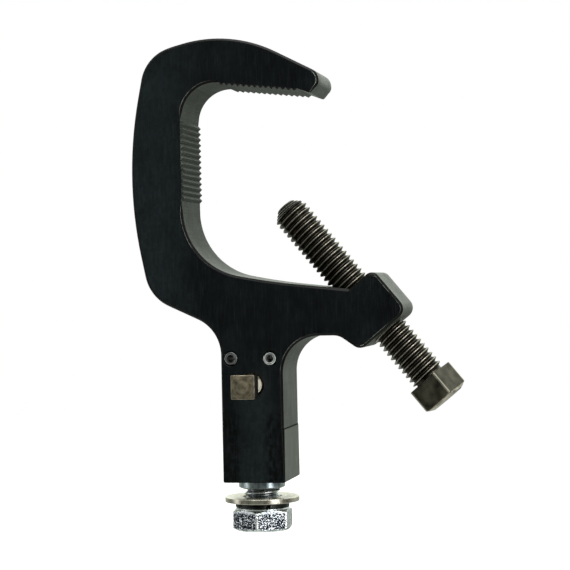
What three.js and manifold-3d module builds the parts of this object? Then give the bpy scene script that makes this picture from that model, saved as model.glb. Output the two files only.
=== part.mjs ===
/**
 * Hook-type pipe clamp for hanging stage lighting.
 *
 * A 1 inch slice of black anodised aluminium extrusion hooks over a horizontal pipe. A square-head
 * bolt through the boss at the end of the arm presses the pipe into the serrated jaw. A round steel
 * spud turns in the stem and carries the fixture bolt; two coiled pins hold the spud in, and a small
 * square-head screw in the front face locks it.
 *
 * Units are millimetres. +Z is up, +X points to the open side of the jaw, and -Y is the front face.
 * The origin is the centre of a seated pipe of 48.3 mm, halfway through the body's thickness.
 */
import * as THREE from "three";
import { mergeVertices } from "three/addons/utils/BufferGeometryUtils.js";
import Module from "manifold-3d";

// ---- Body ----
const BODY_THICKNESS = 25.4;
const STEM_X = -2.0;
const STEM_WIDTH = 21.1;
const STEM_BOTTOM = -108.4;
const STEM_STEP = { z: -90.5, width: 0.18 }; // the stem is this much wider below z, on its right
const ARM_UNDERSIDE = -59.3;
const ARC_SAG = 0.04; // how far a straight facet may stray from an outline's arc

// ---- Serrated jaw faces ----
const TOOTH_COUNT = 14;
const TOOTH_PITCH = 1.94;
const TOOTH_HEIGHT = 0.9;
const WALL_FIRST_VALLEY = [-25.05, -12.97];
const JAW_FIRST_VALLEY = [-11.37, 26.54];
const JAW_SLOPE = 6.71; // degrees the upper jaw falls towards its tip

// ---- Pipe bolt: 1/2-13 x 3 in square-head set screw ----
const BOLT_SLOPE = 50.6; // degrees below horizontal, from the tip to the head
const BOLT_AXIS_OFFSET = -3.5; // from the pipe's centre, measured square to the bolt
const HALF_INCH_THREAD_DIAMETER = 12.4;
const THREAD_CLEARANCE = 0.25;
const BOLT_TIP_ALONG = 16.9;
const BOLT_LENGTH = 76.2;
const BOLT_POINT = { flatRadius: 3.4, chamfer: 2.8 };
const BOLT_NECK = { radius: 5.3, length: 1.2 };
const BOLT_HEAD = {
  acrossFlats: 12.2,
  height: 9.5,
  edgeHeight: 8.1, // at the corners, below the crown's chamfer
  crownRadius: 5.6,
  crownDrop: 0.3,
  turn: 25,
};
const BOSS = { start: 54.1, end: 72.0, low: -10.3, high: 10.4 };
const BOLT_HOLE_START = 40; // in the open space ahead of the boss

// ---- Swivel spud and its retaining pins ----
const SPUD_RADIUS = 7.94;
const SPUD_TOP = -60;
const SPUD_BOTTOM = STEM_BOTTOM - 2.9;
const SPUD_CHAMFER = 0.8;
const SPUD_NECK_RADIUS = 3.6;
const SPUD_GROOVE_CLEARANCE = 0.32; // above and below the pins
const SPUD_BORE_RADIUS = 8.2;
const SPUD_BORE_TOP = -58.6;
const SPUD_THREAD_TOP = -83.5;
const SPUD_DRILL_POINT = 1.8; // height of the cone at the top of the tapped hole
const PIN_Z = -66.6;
const PIN_XS = { left: -9.2, right: 4.25 };
const PIN_RADIUS = 2.38;
const PIN_HOLLOW_RADIUS = 0.95;
const PIN_CHAMFER = 0.4;
const PIN_HOLE_RADIUS = 2.65;

// ---- Lock screw: 5/16-18 x 1/2 in square-head set screw ----
const LOCK_Z = -75.5;
const LOCK_PROUD = 14.0; // how far its head stands out of the front face
const LOCK_HEAD = { acrossFlats: 7.94, height: 6.0 };
const LOCK_NECK = { radius: 3.4, length: 8.4 };
const LOCK_THREAD_RADIUS = 3.85;
const LOCK_LENGTH = 12.4;
const LOCK_POINT_CHAMFER = 0.8;
const LOCK_HOLE_RADIUS = 4.1;

// ---- Fixture bolt 1/2-13 x 1-1/4 in, with its washers, below the stem ----
const WASHER_TOP = STEM_BOTTOM - 5.6;
const FLAT_WASHER = { outerRadius: 12.7, innerRadius: 6.75, thickness: 1.8, edge: 0.25 };
const LOCK_WASHER = {
  outerRadius: 9.2,
  innerRadius: 6.6,
  thickness: 1.6,
  rise: 0.4, // of the split's higher end
  gap: 1.6,
  splitAngle: -66, // degrees from +X
};
const STACK_GAP = 0.05;
const HEX_TOP = STEM_BOTTOM - 9.5;
const HEX_HEAD = {
  acrossFlats: 18.7,
  height: 7.6,
  chamfer: 0.8, // at the corners, on the driving end
  endInset: 0.4, // of the flat driving end, inside the flats
  washerFace: 0.4,
  washerChamfer: 0.3,
  turn: 31.4,
};
const FIXTURE_BOLT_LENGTH = 31.75;
const FIXTURE_BOLT_CHAMFER = 1.0;

const ROUND_SEGMENTS = 48;
const SMALL_ROUND_SEGMENTS = 28;
const OVERCUT = 1; // how far a cutting tool, or a buried end, reaches past the surface it meets
const WELD = 1e-5; // vertices closer than this are one

const wasm = await Module();
wasm.setup();

const radians = THREE.MathUtils.degToRad;

// ---- Solids ----

/** A closed geometry as a manifold-3d solid. */
function solid(geometry) {
  const bare = geometry.index ? geometry.toNonIndexed() : geometry.clone();
  bare.deleteAttribute("normal");
  bare.deleteAttribute("uv");
  const merged = mergeVertices(bare, WELD);
  const vertProperties = new Float32Array(merged.attributes.position.array);
  const triVerts = new Uint32Array(merged.index.array);
  return new wasm.Manifold(new wasm.Mesh({ numProp: 3, vertProperties, triVerts }));
}

/** A manifold-3d solid as a geometry. */
function geometryOf(manifold) {
  const mesh = manifold.getMesh();
  const geometry = new THREE.BufferGeometry();
  geometry.setAttribute("position", new THREE.BufferAttribute(mesh.vertProperties, 3));
  geometry.setIndex(new THREE.BufferAttribute(mesh.triVerts, 1));
  geometry.computeVertexNormals();
  return geometry;
}

function cut(geometry, ...tools) {
  return geometryOf(tools.reduce((rest, tool) => rest.subtract(solid(tool)), solid(geometry)));
}

function join(...geometries) {
  return geometryOf(geometries.map(solid).reduce((a, b) => a.add(b)));
}

function overlapOf(a, b) {
  return geometryOf(solid(a).intersect(solid(b)));
}

/** A turned piece about Z, from its [radius, z] profile, which runs upwards on its outside. */
function turned(profile, segments = ROUND_SEGMENTS) {
  const points = profile.map(([r, z]) => new THREE.Vector2(r, z));
  return new THREE.LatheGeometry(points, segments).rotateX(Math.PI / 2);
}

/** A plain round bar about Z. */
function bar(radius, low, high, segments = ROUND_SEGMENTS) {
  return turned([[0, low], [radius, low], [radius, high], [0, high]], segments);
}

/** A regular prism about Z; at turn 0 a flat faces -Y. */
function prism(sides, acrossFlats, low, high, turn) {
  const radius = acrossFlats / 2 / Math.cos(Math.PI / sides);
  const first = -Math.PI / 2 + Math.PI / sides + radians(turn);
  const corners = Array.from({ length: sides }, (_, i) => {
    const angle = first + (2 * Math.PI * i) / sides;
    return new THREE.Vector2(radius * Math.cos(angle), radius * Math.sin(angle));
  });
  const shape = new THREE.Shape(corners);
  const geometry = new THREE.ExtrudeGeometry(shape, { depth: high - low, bevelEnabled: false });
  return geometry.translate(0, 0, low);
}

// ---- Outlines in the XZ plane ----

/** Corners of [x, z, radius] as points, with each rounded corner a faceted arc. */
function roundedOutline(corners) {
  const points = [];
  corners.forEach(([x, z, radius = 0], i) => {
    const corner = new THREE.Vector2(x, z);
    if (radius === 0) {
      points.push(corner);
      return;
    }
    const before = corners[(i + corners.length - 1) % corners.length];
    const after = corners[(i + 1) % corners.length];
    const toBefore = new THREE.Vector2(before[0] - x, before[1] - z).normalize();
    const toAfter = new THREE.Vector2(after[0] - x, after[1] - z).normalize();
    const halfAngle = Math.acos(toBefore.dot(toAfter)) / 2;
    const middle = toBefore.clone().add(toAfter).normalize();
    const centre = corner.clone().addScaledVector(middle, radius / Math.sin(halfAngle));
    const tangentLength = radius / Math.tan(halfAngle);
    const start = corner.clone().addScaledVector(toBefore, tangentLength).sub(centre);
    const sweep = (Math.PI - 2 * halfAngle) * Math.sign(toAfter.cross(toBefore));
    const steps = Math.max(2, Math.ceil(Math.abs(sweep) / (2 * Math.acos(1 - ARC_SAG / radius))));
    for (let k = 0; k <= steps; k += 1) {
      const spoke = start.clone().rotateAround(new THREE.Vector2(), (sweep * k) / steps);
      points.push(spoke.add(centre));
    }
  });
  return points;
}

/** Corners of a row of V teeth from a first valley; the teeth point to the right of the row. */
function serration([x, z], direction) {
  const along = radians(direction);
  const at = (distance, height) => [
    x + distance * Math.cos(along) + height * Math.sin(along),
    z + distance * Math.sin(along) - height * Math.cos(along),
  ];
  const corners = [];
  for (let i = 0; i < TOOTH_COUNT; i += 1) {
    corners.push(at(i * TOOTH_PITCH, 0), at((i + 0.5) * TOOTH_PITCH, TOOTH_HEIGHT));
  }
  corners.push(at(TOOTH_COUNT * TOOTH_PITCH, 0));
  return corners;
}

/** A point in the bolt's own plane: so far along its axis from the pipe, and so far across it. */
function byBolt(along, across) {
  const slope = radians(BOLT_SLOPE);
  const side = across + BOLT_AXIS_OFFSET;
  return [
    along * Math.cos(slope) + side * Math.sin(slope),
    -along * Math.sin(slope) + side * Math.cos(slope),
  ];
}

/** The extrusion's section, anticlockwise from the stem's bottom right corner. */
function bodyOutline() {
  const stemRight = STEM_X + STEM_WIDTH / 2;
  const stemLeft = STEM_X - STEM_WIDTH / 2;
  return roundedOutline([
    [stemRight + STEM_STEP.width, STEM_BOTTOM, 0.6],
    [stemRight + STEM_STEP.width, STEM_STEP.z],
    [stemRight, STEM_STEP.z + STEM_STEP.width],
    [stemRight, ARM_UNDERSIDE, 12.4],
    [27.8, ARM_UNDERSIDE, 5.7],
    [...byBolt(BOSS.end, BOSS.low), 3.2],
    [...byBolt(BOSS.end, BOSS.high), 3.5],
    [...byBolt(BOSS.start, BOSS.high), 2.8],
    [...byBolt(BOSS.start, 0), 1.0],
    [3.4, -40.8, 211],
    [-23.9, -35.0, 23.2],
    ...serration(WALL_FIRST_VALLEY, 90),
    [-22.5, 27.4, 11.6],
    ...serration(JAW_FIRST_VALLEY, -JAW_SLOPE),
    [19.9, 21.7, 0.8],
    [22.95, 24.9, 2.5],
    [22.5, 28.7, 4.0],
    [-7.1, 44.2, 46],
    [-28.0, 39.2, 35],
    [-37.0, 36.0, 13.5],
    [-45.2, -5.0, 136],
    [-37.0, -45.5, 14.2],
    [-12.6, -56.8, 13.5],
    [stemLeft, STEM_BOTTOM, 0.6],
  ]);
}

/** Stands a piece modelled about Z on the bolt's axis, its z counted from the pipe to the head. */
function onBoltAxis(geometry) {
  const [x, z] = byBolt(0, 0);
  return geometry.rotateY(radians(90 + BOLT_SLOPE)).translate(x, 0, z);
}

/** Lays a piece modelled about Z along Y, with its -Z end to the front, at x and z. */
function alongY(geometry, x, z) {
  return geometry.rotateX(-Math.PI / 2).translate(x, 0, z);
}

// ---- Pieces ----

function clampBody() {
  const half = BODY_THICKNESS / 2;
  const section = new THREE.Shape(bodyOutline());
  const slice = new THREE.ExtrudeGeometry(section, { depth: BODY_THICKNESS, bevelEnabled: false });
  slice.rotateX(Math.PI / 2).translate(0, half, 0);
  const boltHoleRadius = HALF_INCH_THREAD_DIAMETER / 2 + THREAD_CLEARANCE;
  const front = -half - OVERCUT;
  const back = half + OVERCUT;
  const pinHole = () => bar(PIN_HOLE_RADIUS, front, back, SMALL_ROUND_SEGMENTS);
  return cut(
    slice,
    onBoltAxis(bar(boltHoleRadius, BOLT_HOLE_START, BOSS.end + OVERCUT)),
    bar(SPUD_BORE_RADIUS, STEM_BOTTOM - OVERCUT, SPUD_BORE_TOP).translate(STEM_X, 0, 0),
    alongY(bar(LOCK_HOLE_RADIUS, front, 0, SMALL_ROUND_SEGMENTS), STEM_X, LOCK_Z),
    alongY(pinHole(), PIN_XS.left, PIN_Z),
    alongY(pinHole(), PIN_XS.right, PIN_Z),
  );
}

function pipeBolt() {
  const radius = HALF_INCH_THREAD_DIAMETER / 2;
  const tip = BOLT_TIP_ALONG;
  const underHead = tip + BOLT_LENGTH;
  const headEnd = underHead + BOLT_HEAD.height;
  const shank = turned([
    [0, tip],
    [BOLT_POINT.flatRadius, tip],
    [radius, tip + BOLT_POINT.chamfer],
    [radius, underHead - BOLT_NECK.length],
    [BOLT_NECK.radius, underHead - BOLT_NECK.length],
    [BOLT_NECK.radius, underHead + OVERCUT],
    [0, underHead + OVERCUT],
  ]);
  const cornerRadius = BOLT_HEAD.acrossFlats / Math.SQRT2;
  const crown = turned([
    [0, underHead - OVERCUT],
    [cornerRadius + OVERCUT, underHead - OVERCUT],
    [cornerRadius + OVERCUT, underHead + BOLT_HEAD.edgeHeight],
    [cornerRadius, underHead + BOLT_HEAD.edgeHeight],
    [BOLT_HEAD.crownRadius, headEnd - BOLT_HEAD.crownDrop],
    [0, headEnd],
  ]);
  const block = prism(4, BOLT_HEAD.acrossFlats, underHead, headEnd, BOLT_HEAD.turn);
  return onBoltAxis(join(shank, overlapOf(block, crown)));
}

function swivelSpud() {
  const groove = PIN_RADIUS + SPUD_GROOVE_CLEARANCE;
  const threadRadius = HALF_INCH_THREAD_DIAMETER / 2 + THREAD_CLEARANCE;
  return turned([
    [0, SPUD_THREAD_TOP + SPUD_DRILL_POINT],
    [threadRadius, SPUD_THREAD_TOP],
    [threadRadius, SPUD_BOTTOM],
    [SPUD_RADIUS - SPUD_CHAMFER, SPUD_BOTTOM],
    [SPUD_RADIUS, SPUD_BOTTOM + SPUD_CHAMFER],
    [SPUD_RADIUS, PIN_Z - groove],
    [SPUD_NECK_RADIUS, PIN_Z - groove],
    [SPUD_NECK_RADIUS, PIN_Z + groove],
    [SPUD_RADIUS, PIN_Z + groove],
    [SPUD_RADIUS, SPUD_TOP - SPUD_CHAMFER],
    [SPUD_RADIUS - SPUD_CHAMFER, SPUD_TOP],
    [0, SPUD_TOP],
  ]).translate(STEM_X, 0, 0);
}

function retainingPin(x) {
  const half = BODY_THICKNESS / 2;
  const pin = turned([
    [PIN_HOLLOW_RADIUS, -half],
    [PIN_RADIUS - PIN_CHAMFER, -half],
    [PIN_RADIUS, -half + PIN_CHAMFER],
    [PIN_RADIUS, half - PIN_CHAMFER],
    [PIN_RADIUS - PIN_CHAMFER, half],
    [PIN_HOLLOW_RADIUS, half],
    [PIN_HOLLOW_RADIUS, -half],
  ], SMALL_ROUND_SEGMENTS);
  return alongY(pin, x, PIN_Z);
}

function lockScrew() {
  const headEnd = -BODY_THICKNESS / 2 - LOCK_PROUD;
  const underHead = headEnd + LOCK_HEAD.height;
  const point = underHead + LOCK_LENGTH;
  const shank = turned([
    [0, underHead - OVERCUT],
    [LOCK_NECK.radius, underHead - OVERCUT],
    [LOCK_NECK.radius, underHead + LOCK_NECK.length],
    [LOCK_THREAD_RADIUS, underHead + LOCK_NECK.length],
    [LOCK_THREAD_RADIUS, point - LOCK_POINT_CHAMFER],
    [LOCK_THREAD_RADIUS - LOCK_POINT_CHAMFER, point],
    [0, point],
  ], SMALL_ROUND_SEGMENTS);
  const head = prism(4, LOCK_HEAD.acrossFlats, headEnd, underHead, 0);
  return alongY(join(shank, head), STEM_X, LOCK_Z);
}

function fixtureBolt() {
  const radius = HALF_INCH_THREAD_DIAMETER / 2;
  const tip = HEX_TOP + FIXTURE_BOLT_LENGTH;
  const bottom = HEX_TOP - HEX_HEAD.height;
  const washerFaceBottom = HEX_TOP - HEX_HEAD.washerFace;
  const flatRadius = HEX_HEAD.acrossFlats / 2;
  const cornerRadius = flatRadius / Math.cos(Math.PI / 6);
  const shank = turned([
    [0, HEX_TOP - OVERCUT],
    [radius, HEX_TOP - OVERCUT],
    [radius, tip - FIXTURE_BOLT_CHAMFER],
    [radius - FIXTURE_BOLT_CHAMFER, tip],
    [0, tip],
  ]);
  const turnedBlank = turned([
    [0, bottom],
    [flatRadius - HEX_HEAD.endInset, bottom],
    [cornerRadius, bottom + HEX_HEAD.chamfer],
    [cornerRadius + OVERCUT, bottom + HEX_HEAD.chamfer],
    [cornerRadius + OVERCUT, washerFaceBottom - HEX_HEAD.washerChamfer],
    [cornerRadius, washerFaceBottom - HEX_HEAD.washerChamfer],
    [flatRadius, washerFaceBottom],
    [flatRadius, HEX_TOP],
    [0, HEX_TOP],
  ]);
  const block = prism(6, HEX_HEAD.acrossFlats, bottom, HEX_TOP, HEX_HEAD.turn);
  return join(shank, overlapOf(block, turnedBlank)).translate(STEM_X, 0, 0);
}

function flatWasher() {
  const { outerRadius, innerRadius, thickness, edge } = FLAT_WASHER;
  const bottom = WASHER_TOP - thickness;
  return turned([
    [innerRadius, bottom],
    [outerRadius - edge, bottom],
    [outerRadius, bottom + edge],
    [outerRadius, WASHER_TOP - edge],
    [outerRadius - edge, WASHER_TOP],
    [innerRadius, WASHER_TOP],
    [innerRadius, bottom],
  ]).translate(STEM_X, 0, 0);
}

/** A split ring, sprung so that one end of the split stands higher than the other. */
function lockWasher() {
  const { outerRadius, innerRadius, thickness, rise, gap, splitAngle } = LOCK_WASHER;
  const bottom = HEX_TOP + STACK_GAP;
  const top = bottom + thickness;
  const ring = turned([
    [innerRadius, bottom],
    [outerRadius, bottom],
    [outerRadius, top],
    [innerRadius, top],
    [innerRadius, bottom],
  ]);
  const slot = new THREE.BoxGeometry(outerRadius + OVERCUT, gap, 2 * (thickness + OVERCUT));
  slot.translate((outerRadius + OVERCUT) / 2, 0, bottom + thickness / 2);
  const split = cut(ring, slot);
  const position = split.attributes.position;
  for (let i = 0; i < position.count; i += 1) {
    const angle = Math.atan2(position.getY(i), position.getX(i));
    const turnFraction = THREE.MathUtils.euclideanModulo(angle, 2 * Math.PI) / (2 * Math.PI);
    position.setZ(i, position.getZ(i) + rise * turnFraction);
  }
  return split.rotateZ(radians(splitAngle)).translate(STEM_X, 0, 0);
}

// ---- Assembly ----

const finishes = {
  anodised: { color: 0x23282a, roughness: 0.45, metalness: 0.8 },
  blackOxide: { color: 0x3a342e, roughness: 0.4, metalness: 0.9 },
  bareSteel: { color: 0x9a9c9c, roughness: 0.35, metalness: 1.0 },
  springSteel: { color: 0x5b5f61, roughness: 0.4, metalness: 0.9 },
  bronzedSteel: { color: 0x6d5f4c, roughness: 0.35, metalness: 0.9 },
  zinc: { color: 0xb8bdc0, roughness: 0.25, metalness: 1.0 },
  agedZinc: { color: 0xa79f8d, roughness: 0.35, metalness: 1.0 },
};

function named(name, geometry, finish) {
  const mesh = new THREE.Mesh(geometry, new THREE.MeshStandardMaterial(finishes[finish]));
  mesh.name = name;
  return mesh;
}

const group = new THREE.Group();
group.add(
  named("clamp_body", clampBody(), "anodised"),
  named("pipe_bolt", pipeBolt(), "blackOxide"),
  named("swivel_spud", swivelSpud(), "bareSteel"),
  named("retaining_pin_left", retainingPin(PIN_XS.left), "springSteel"),
  named("retaining_pin_right", retainingPin(PIN_XS.right), "springSteel"),
  named("lock_screw", lockScrew(), "bronzedSteel"),
  named("fixture_bolt", fixtureBolt(), "zinc"),
  named("flat_washer", flatWasher(), "agedZinc"),
  named("lock_washer", lockWasher(), "springSteel"),
);

export default group;
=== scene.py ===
"""The looks of the pipe clamp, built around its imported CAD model.

Every piece is worked out in millimetres in the row's frame: +Z up, +X to the open side of the
jaw, -Y to the front, and the origin at the centre of a seated pipe. make() turns it to metres.
"""
import math
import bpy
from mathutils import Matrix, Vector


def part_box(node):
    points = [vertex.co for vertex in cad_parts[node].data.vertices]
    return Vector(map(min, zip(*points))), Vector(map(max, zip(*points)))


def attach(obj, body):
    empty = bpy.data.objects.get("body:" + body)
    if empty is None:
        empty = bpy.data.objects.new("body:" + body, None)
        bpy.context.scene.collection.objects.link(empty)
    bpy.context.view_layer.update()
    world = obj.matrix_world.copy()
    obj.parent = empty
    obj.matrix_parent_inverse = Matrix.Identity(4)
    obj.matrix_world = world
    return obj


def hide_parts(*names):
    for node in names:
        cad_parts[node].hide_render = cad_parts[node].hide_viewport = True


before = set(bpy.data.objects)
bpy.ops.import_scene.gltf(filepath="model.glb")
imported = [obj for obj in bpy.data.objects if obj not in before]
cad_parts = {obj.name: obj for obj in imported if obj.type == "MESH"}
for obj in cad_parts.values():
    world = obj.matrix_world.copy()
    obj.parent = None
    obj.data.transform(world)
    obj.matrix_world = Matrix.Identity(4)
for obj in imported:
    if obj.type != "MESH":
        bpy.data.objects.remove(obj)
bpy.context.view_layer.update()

from types import SimpleNamespace

import bmesh
import bpy
import numpy as np
from mathutils import Matrix, Vector

MM = 0.001
SLIVER = 0.0008 * MM  # corners nearer than this are merged

# ---- Camera ----
IMAGE_PIXELS = 570
FOCAL_PIXELS = 1865
CAMERA_TURN = math.radians(11.7)  # to the right of straight on
CAMERA_ROLL = math.radians(1.2)
CAMERA_DISTANCE = 636.5
CAMERA_TARGET = Vector((7.45, 0, -42.16))

# ---- Sizes, as in the CAD model ----
THICKNESS = 25.4
STEM_X, STEM_HALF_WIDTH, STEM_BOTTOM = -2.0, 10.55, -108.4
STEM_STEP_Z, STEM_STEP = -90.5, 0.18
ARM_UNDERSIDE = -59.3
TOOTH_COUNT, TOOTH_PITCH, TOOTH_HEIGHT = 14, 1.94, 0.9
WALL_FIRST_VALLEY = (-25.05, -12.97)
JAW_FIRST_VALLEY, JAW_SLOPE = (-11.37, 26.54), 6.71
BOLT_SLOPE, BOLT_OFFSET = math.radians(50.6), -3.5
BOLT_TIP, BOLT_LENGTH, BOLT_HEAD_HEIGHT, BOLT_HEAD_ACROSS = 16.9, 76.2, 9.5, 12.2
BOLT_UNDER_HEAD = BOLT_TIP + BOLT_LENGTH
BOSS_START, BOSS_END, BOSS_LOW, BOSS_HIGH = 54.1, 72.0, -10.3, 10.4
PIN_Z, PIN_XS = -66.6, {"left": -9.2, "right": 4.25}
LOCK_Z = -75.5
LOCK_END = -THICKNESS / 2 - 14  # the lock screw's front, along front_axis()
LOCK_UNDER_HEAD = LOCK_END + 6
HEX_TOP, HEX_HEIGHT, HEX_ACROSS = STEM_BOTTOM - 9.5, 7.6, 18.7
THREAD_RADIUS, THREAD_PITCH = 6.2, 25.4 / 13  # of both 1/2-13 bolts
FLOOR_DROP = 20.2  # the fixture bolt comes down by 19.6 mm

EDGE = 0.85  # chamfer of the body's sawn edges
EDGE_PROFILE = ((1.0, 0.0), (0.8, 0.07), (0.05, 0.85), (0.0, 1.0))  # (inset, depth) from face to side
TOOTH_ROUND, TOOTH_EDGE = 0.16, 0.13

# ---- Colours of the anodised body ----
FACE_DARK, FACE_LIGHT = (0.0008, 0.0014, 0.0020), (0.0026, 0.0044, 0.0054)
FACE_WORN = (0.0074, 0.0118, 0.0130)
FACE_BLOTCH, FACE_SCRATCH = (0.0006, 0.0010, 0.0012), (0.014, 0.018, 0.019)
# The sides are lighter than the front and back: a painted sheen, with the drawn grain between the two
# colours. The foot below the step is lighter still.
SIDE_DARK, SIDE_LIGHT = (0.0190, 0.0230, 0.0175), (0.0350, 0.0415, 0.0330)
FOOT_DARK, FOOT_LIGHT = (0.038, 0.045, 0.036), (0.057, 0.067, 0.054)
# The second colour is a painted highlight for sawn edges that face right.
RIM_BLACK, PAINTED_EDGE_HIGHLIGHT = (0.0006, 0.0008, 0.0008), (0.30, 0.31, 0.275)
# Black for specks on the hex head, also spread over its left faces as painted shade.
FLECK_AND_SHADE_BLACK = (0.012, 0.014, 0.020)  # on the zinc of the hex head


# ---- Meshes ----

def make(name, vertices, faces, matrix=Matrix.Identity(4)):
    """A closed mesh in millimetres, as an object in metres with its faces turned outwards."""
    mesh = bpy.data.meshes.new(name)
    shape = bmesh.new()
    corners = [shape.verts.new(matrix @ Vector(v) * MM) for v in vertices]
    for face in faces:
        if len(set(face)) > 2:
            shape.faces.new([corners[i] for i in dict.fromkeys(face)])
    bmesh.ops.recalc_face_normals(shape, faces=shape.faces)
    shape.to_mesh(mesh)
    shape.free()
    thing = bpy.data.objects.new(name, mesh)
    bpy.context.scene.collection.objects.link(thing)
    return thing


def settle(thing):
    """Turns an object's modifiers into its mesh."""
    graph = bpy.context.evaluated_depsgraph_get()
    mesh = bpy.data.meshes.new_from_object(thing.evaluated_get(graph), depsgraph=graph)
    thing.modifiers.clear()
    thing.data = mesh


def combine(thing, operation, *tools):
    """Cuts, joins or crosses a mesh with others, which are used up."""
    for tool in tools:
        step = thing.modifiers.new(operation, "BOOLEAN")
        step.operation, step.object, step.solver = operation, tool, "EXACT"
    settle(thing)
    for tool in tools:
        bpy.data.objects.remove(tool)
    return thing


def clean(mesh):
    """Merges the slivers that a boolean leaves, with no folded faces or holes left behind."""
    shape = bmesh.new()
    shape.from_mesh(mesh)
    bmesh.ops.remove_doubles(shape, verts=shape.verts, dist=SLIVER)
    bmesh.ops.dissolve_degenerate(shape, edges=shape.edges, dist=SLIVER)
    bmesh.ops.triangulate(shape, faces=shape.faces)
    by_corners = {}
    for face in shape.faces:
        by_corners.setdefault(frozenset(face.verts), []).append(face)
    folded = [face for faces in by_corners.values() if len(faces) > 1 for face in faces]
    bmesh.ops.delete(shape, geom=folded, context="FACES")
    bmesh.ops.holes_fill(shape, edges=[edge for edge in shape.edges if edge.is_boundary])
    bmesh.ops.triangulate(shape, faces=shape.faces)
    shape.to_mesh(mesh)
    shape.free()


def polish(thing, sharp_degrees):
    """Smooth shading that stays crisp at sharp edges and flat on wide faces."""
    clean(thing.data)
    thing.data.shade_smooth()
    thing.data.set_sharp_from_angle(angle=math.radians(sharp_degrees))
    weighted = thing.modifiers.new("weighted", "WEIGHTED_NORMAL")
    weighted.keep_sharp = True
    settle(thing)


def tube_faces(rings, columns):
    """Quads between closed rings of vertices, each ring numbered on from the last."""
    faces = []
    for j in range(rings - 1):
        for i in range(columns):
            k = (i + 1) % columns
            faces.append((j * columns + i, j * columns + k, (j + 1) * columns + k, (j + 1) * columns + i))
    return faces


def even_angles(segments):
    return [2 * math.pi * i / segments for i in range(segments)]


def ring(radius, z):
    """A round row for gridded()."""
    return lambda angle: (radius, z)


def gridded(name, rows, angles, matrix=Matrix.Identity(4)):
    """A piece about Z from rows, each of which gives (radius, z) at an angle.

    A row on the axis is a point.
    """
    vertices, index = [], []
    for row in rows:
        points = [row(a) for a in angles]
        if max(r for r, _ in points) < 1e-6:
            vertices.append((0, 0, points[0][1]))
            index.append([len(vertices) - 1] * len(angles))
            continue
        index.append(list(range(len(vertices), len(vertices) + len(angles))))
        vertices += [(r * math.cos(a), r * math.sin(a), z) for a, (r, z) in zip(angles, points)]
    faces = []
    on_axis = len(set(index[0])) == 1
    for lower, upper in zip(index, index[1:] + ([] if on_axis else index[:1])):
        for i in range(len(angles)):
            k = (i + 1) % len(angles)
            faces.append((lower[i], lower[k], upper[k], upper[i]))
    return make(name, vertices, faces, matrix)


def lathe(name, profile, segments=96, matrix=Matrix.Identity(4)):
    """A turned piece about Z from its closed or axis-to-axis [radius, z] profile."""
    return gridded(name, [ring(*point) for point in profile], even_angles(segments), matrix)


def arc(centre, radius, start, end, steps):
    """Points of an arc; angles in degrees."""
    turns = [math.radians(start + (end - start) * k / steps) for k in range(steps + 1)]
    return [(centre[0] + radius * math.cos(a), centre[1] + radius * math.sin(a)) for a in turns]


# ---- The body's outline ----

def by_bolt(along, across):
    """The (x, z) of a point along the pressing bolt's axis and across it."""
    side = across + BOLT_OFFSET
    return (
        along * math.cos(BOLT_SLOPE) + side * math.sin(BOLT_SLOPE),
        side * math.cos(BOLT_SLOPE) - along * math.sin(BOLT_SLOPE),
    )


def serration(first, direction):
    """Corners of a row of V teeth; the teeth point to the right of the row."""
    a = math.radians(direction)
    corners = []
    for i in range(2 * TOOTH_COUNT + 1):
        along, height = i * TOOTH_PITCH / 2, TOOTH_HEIGHT * (i % 2)
        corners.append((
            first[0] + along * math.cos(a) + height * math.sin(a),
            first[1] + along * math.sin(a) - height * math.cos(a),
            TOOTH_ROUND, TOOTH_EDGE,
        ))
    return corners


def body_corners():
    """(x, z, corner radius, edge rounding), anticlockwise from the stem's bottom right corner."""
    right, left = STEM_X + STEM_HALF_WIDTH, STEM_X - STEM_HALF_WIDTH
    return [
        (right + STEM_STEP, STEM_BOTTOM, 0.6, 0.3),
        (right + STEM_STEP, STEM_STEP_Z, 0.05, EDGE),
        (right, STEM_STEP_Z + STEM_STEP, 0.05, EDGE),
        (right, ARM_UNDERSIDE, 12.4, EDGE),
        (27.8, ARM_UNDERSIDE, 5.7, EDGE),
        (*by_bolt(BOSS_END, BOSS_LOW), 3.2, EDGE),
        (*by_bolt(BOSS_END, BOSS_HIGH), 3.5, EDGE),
        (*by_bolt(BOSS_START, BOSS_HIGH), 2.8, EDGE),
        (*by_bolt(BOSS_START, 0), 1.0, EDGE),
        (3.4, -40.8, 211, EDGE),
        (-23.9, -35.0, 23.2, EDGE),
        *serration(WALL_FIRST_VALLEY, 90),
        (-22.5, 27.4, 11.6, EDGE),
        *serration(JAW_FIRST_VALLEY, -JAW_SLOPE),
        (19.9, 21.7, 0.8, 0.35),
        (22.95, 24.9, 2.5, EDGE),
        (22.5, 28.7, 4.0, EDGE),
        (-7.1, 44.2, 46, EDGE),
        (-28.0, 39.2, 35, EDGE),
        (-37.0, 36.0, 13.5, EDGE),
        (-45.2, -5.0, 136, EDGE),
        (-37.0, -45.5, 14.2, EDGE),
        (-12.6, -56.8, 13.5, EDGE),
        (left, STEM_BOTTOM, 0.6, 0.3),
    ]


def rounded(corners, sag):
    """Those corners as points (x, z, edge rounding), each corner a faceted arc."""
    widest_facet = 0.3  # as a sag, in shares of the radius
    points = []
    for i, (x, z, radius, edge) in enumerate(corners):
        corner = Vector((x, z))
        before = (Vector(corners[i - 1][:2]) - corner).normalized()
        after = (Vector(corners[(i + 1) % len(corners)][:2]) - corner).normalized()
        half = before.angle(after) / 2
        centre = corner + (before + after).normalized() * radius / math.sin(half)
        spoke = corner + before * radius / math.tan(half) - centre
        turn = math.copysign(math.pi - 2 * half, after.x * before.y - after.y * before.x)
        steps = max(2, math.ceil(abs(turn) / (2 * math.acos(1 - min(sag / radius, widest_facet)))))
        for k in range(steps + 1):
            point = centre + Matrix.Rotation(turn * k / steps, 2) @ spoke
            points.append((point.x, point.y, edge))
    return points


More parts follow.
